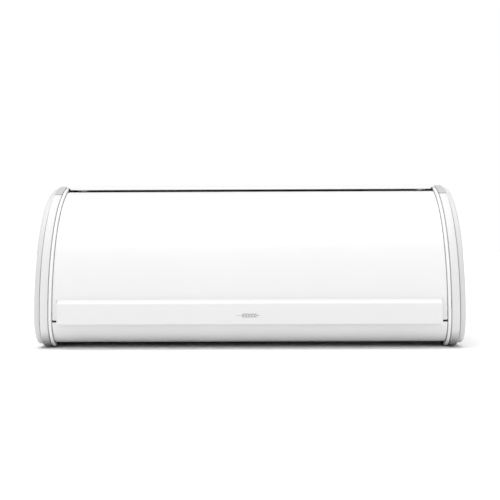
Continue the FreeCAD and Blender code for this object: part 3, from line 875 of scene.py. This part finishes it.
def make_emblem():
    """Small printed ear of wheat lying along the middle of the handle's front."""
    shoulder_y, shoulder_z = HANDLE_SHOULDER
    slope = (-HANDLE_REACH - shoulder_y) / (HANDLE_LOW.z - shoulder_z)
    middle_x, middle_z = EMBLEM_MIDDLE
    grains = [(9.6, 0.0, 0.0, 1.7)]
    for k in range(5):
        for up in (1, -1):
            grains.append((7.0 - 3.0 * k, up * 1.25, up * math.radians(28), 1.75))
    shapes = []
    for along, up, turn, length in grains:
        points = []
        for k in range(16):
            a = 2 * math.pi * k / 16
            px, pz = length * math.cos(a), GRAIN_HALF_WIDTH * math.sin(a) * (1 - 0.25 * math.cos(a))
            points.append((along + px * math.cos(turn) - pz * math.sin(turn),
                           up + px * math.sin(turn) + pz * math.cos(turn)))
        shapes.append(points)
    shapes.append([(-12.0, -0.18), (8.0, -0.12), (8.0, 0.12), (-12.0, 0.18)])
    bm = bmesh.new()
    for points in shapes:
        rings = []
        for lift in (0.0, PRINT_THICKNESS):
            ring = []
            for px, pz in points:
                front = shoulder_y + (middle_z + pz - shoulder_z) * slope
                ring.append(bm.verts.new((middle_x + px, front - lift, middle_z + pz)))
            rings.append(ring)
        skinned(bm, rings)
    new_piece("grip_emblem", bm, "lid", PRINT_GREY, [], 0)


# Camera and studio

CAMERA_PLACE = (16.9 * MM, (AXIS.y - 1300.2) * MM, 103.6 * MM)
CAMERA_YAW, CAMERA_PITCH, CAMERA_ROLL = 0.0138, -0.0011, -0.0036
FOCAL_MM = 80.69
SENSOR_MM = 36

# The surroundings' light on the box, as shares of white, tuned to the photograph
FRONT_LIGHT, REAR_LIGHT = 1.08, 0.85
SIDE_LIGHT, SIDE_START, SIDE_END = 0.4, 0.5, 0.95
SUN_DIRECTION, SUN_STRENGTH, SUN_SPREAD = (0.12, -0.06, -1.0), 1.55, 60
FLOOR_WHITE = (0.93, 0.93, 0.93)
FLOOR_HALF_SIZE = 20              # in metres


def add_camera():
    """Camera in front of the box, almost level, a little to the right of its middle."""
    yaw, pitch, roll = CAMERA_YAW, CAMERA_PITCH, CAMERA_ROLL
    forward = Vector((-math.sin(yaw) * math.cos(pitch), math.cos(yaw) * math.cos(pitch), math.sin(pitch)))
    right = Vector((math.cos(yaw), math.sin(yaw), 0))
    up = right.cross(forward)
    turned_right = right * math.cos(roll) + up * math.sin(roll)
    turned_up = up * math.cos(roll) - right * math.sin(roll)
    data = bpy.data.cameras.new("camera")
    data.lens = FOCAL_MM
    data.sensor_width = SENSOR_MM
    camera = bpy.data.objects.new("camera", data)
    turn = Matrix((turned_right, turned_up, -forward)).transposed().to_4x4()
    camera.matrix_world = Matrix.Translation(CAMERA_PLACE) @ turn
    bpy.context.scene.collection.objects.link(camera)
    bpy.context.scene.camera = camera


def add_sun(name, toward, strength, spread):
    """Soft directional light shining along a direction."""
    data = bpy.data.lights.new(name, "SUN")
    data.energy = strength
    data.angle = math.radians(spread)
    light = bpy.data.objects.new(name, data)
    light.rotation_euler = Vector(toward).to_track_quat("-Z", "Y").to_euler()
    bpy.context.scene.collection.objects.link(light)


def add_world():
    """White surroundings to look at, which light the box less from the left, the right and behind."""
    world = bpy.data.worlds.new("studio")
    world.use_nodes = True
    background = world.node_tree.nodes["Background"]
    background.inputs["Strength"].default_value = 1.0
    nodes, links = world.node_tree.nodes, world.node_tree.links
    place = nodes.new("ShaderNodeTexCoord")
    split = nodes.new("ShaderNodeSeparateXYZ")
    links.new(place.outputs["Generated"], split.inputs["Vector"])
    sideways = combined(nodes, links, "ABSOLUTE", split.outputs["X"])
    across = ranged(nodes, links, sideways, 1.0, SIDE_LIGHT, SIDE_START, SIDE_END)
    along = ranged(nodes, links, split.outputs["Y"], FRONT_LIGHT, REAR_LIGHT, -0.5, 0.5)
    shaded = combined(nodes, links, "MULTIPLY", across, along)
    seen = nodes.new("ShaderNodeLightPath")
    evened = combined(nodes, links, "MAXIMUM", shaded, seen.outputs["Is Camera Ray"])
    links.new(evened, background.inputs["Color"])
    bpy.context.scene.world = world


def add_floor():
    """White floor under the box."""
    bm = bmesh.new()
    bmesh.ops.create_grid(bm, x_segments=1, y_segments=1, size=FLOOR_HALF_SIZE)
    mesh = bpy.data.meshes.new("floor")
    bm.to_mesh(mesh)
    bm.free()
    floor = bpy.data.objects.new("floor", mesh)
    bpy.context.scene.collection.objects.link(floor)
    white, _, _, shader = new_material("floor_white", FLOOR_WHITE, 0.9)
    shader.inputs["Specular IOR Level"].default_value = 0.1
    mesh.materials.append(white)


make_shell()
make_pan()
for make in (make_end_frame, make_band, make_trim, make_cover, make_feet, make_side_screws, make_runner):
    both_sides(make)
make_rivets()
make_buffers()
make_lid()
make_rails()
make_handle()
make_handle_screws()
make_emblem()
add_camera()
add_world()
add_sun("overhead", SUN_DIRECTION, SUN_STRENGTH, SUN_SPREAD)
add_floor()
bpy.context.scene.view_settings.view_transform = "Standard"
